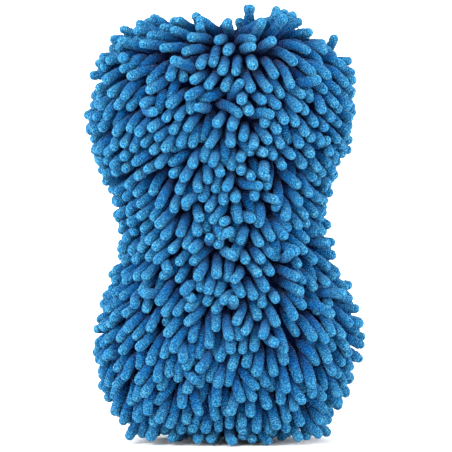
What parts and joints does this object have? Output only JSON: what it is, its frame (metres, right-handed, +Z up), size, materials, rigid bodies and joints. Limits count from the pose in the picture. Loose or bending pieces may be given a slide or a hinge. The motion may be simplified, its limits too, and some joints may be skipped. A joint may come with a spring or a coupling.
{
  "type": "wash mitt",
  "caption": "Hourglass chenille wash mitt with a foam core, an elastic hand strap across its back, a hanging loop and a blank care label.",
  "frame": {"origin": "middle of the footprint, on the surface that the mitt stands on", "axes": "+Z up along the mitt's length, +Y out of its strapped back, -Y out of its noodled front, +X across it"},
  "size_m": [0.1564, 0.0914, 0.242],
  "materials": {
    "chenille": "matte",
    "base_cloth": "matte",
    "back_cloth": "matte",
    "binding_tape": "matte",
    "thread": "satin",
    "elastic": "matte",
    "loop_tape": "matte",
    "label_satin": "satin",
    "foam": "matte"
  },
  "bodies": {
    "mitt": {"foam_core": "foam", "front_panel": "base_cloth", "back_panel": "back_cloth", "seam_binding": "binding_tape", "seam_thread": "thread", "strap_tab_left": "elastic", "strap_tab_right": "elastic", "strap_tack_left": "thread", "strap_tack_right": "thread", "hang_loop_tab": "loop_tape", "care_label_tab": "label_satin", "side_noodle_row_1": "chenille", "side_noodle_row_2": "chenille", "side_noodle_row_3": "chenille", "side_noodle_row_4": "chenille", "side_noodle_row_5": "chenille", "side_noodle_row_6": "chenille", "side_noodle_row_7": "chenille", "side_noodle_row_8": "chenille", "side_noodle_row_9": "chenille", "foot_noodle_row_2": "chenille", "foot_noodle_row_3": "chenille", "foot_noodle_row_4": "chenille", "foot_noodle_row_5": "chenille", "foot_noodle_row_6": "chenille", "foot_noodle_row_7": "chenille", "front_noodle_row_1": "chenille", "front_noodle_row_2": "chenille", "front_noodle_row_3": "chenille", "front_noodle_row_4": "chenille", "front_noodle_row_5": "chenille", "front_noodle_row_6": "chenille", "front_noodle_row_7": "chenille", "front_noodle_row_8": "chenille", "front_noodle_row_9": "chenille", "front_noodle_row_10": "chenille", "front_noodle_row_11": "chenille", "front_noodle_row_12": "chenille", "front_noodle_row_13": "chenille", "front_noodle_row_14": "chenille"},
    "strap": {"hand_strap": "elastic"},
    "loop": {"hang_loop": "loop_tape"},
    "label": {"care_label": "label_satin"}
  },
  "joints": [
    {"name": "strap_stretch", "type": "slide", "parent": "mitt", "child": "strap", "axis": [0, 1, 0], "range_m": [0, 0.014], "stiffness_N_per_m": 300},
    {"name": "loop_swing", "type": "hinge", "parent": "mitt", "child": "loop", "pos_m": [0, 0.03288, 0.209], "axis": [1, 0, 0], "range_deg": [0, 150]},
    {"name": "label_lift", "type": "hinge", "parent": "mitt", "child": "label", "pos_m": [0.02, 0.02948, 0.209], "axis": [1, 0, 0], "range_deg": [0, 110]}
  ]
}
